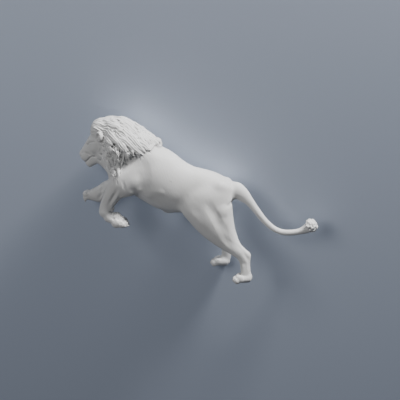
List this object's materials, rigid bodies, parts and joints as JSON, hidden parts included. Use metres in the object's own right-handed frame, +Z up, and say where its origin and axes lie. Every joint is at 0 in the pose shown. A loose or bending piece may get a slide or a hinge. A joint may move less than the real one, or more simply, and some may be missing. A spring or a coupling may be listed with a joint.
{
  "type": "lion statuette",
  "caption": "White printed statuette of a springing male lion with a full mane, reaching forepaws and a trailing tail, lying on its side.",
  "frame": {"origin": "on the table, under the middle of the bounding box", "axes": "+Z up from the table. The lion lies on its right side, with its nose toward -X, its tail toward +X, its back toward +Y and its paws toward -Y."},
  "size_m": [0.203, 0.1396, 0.0437],
  "materials": {
    "white_print": "matte off-white print, unpainted"
  },
  "bodies": {
    "root": {"lion": "white_print"}
  },
  "joints": []
}
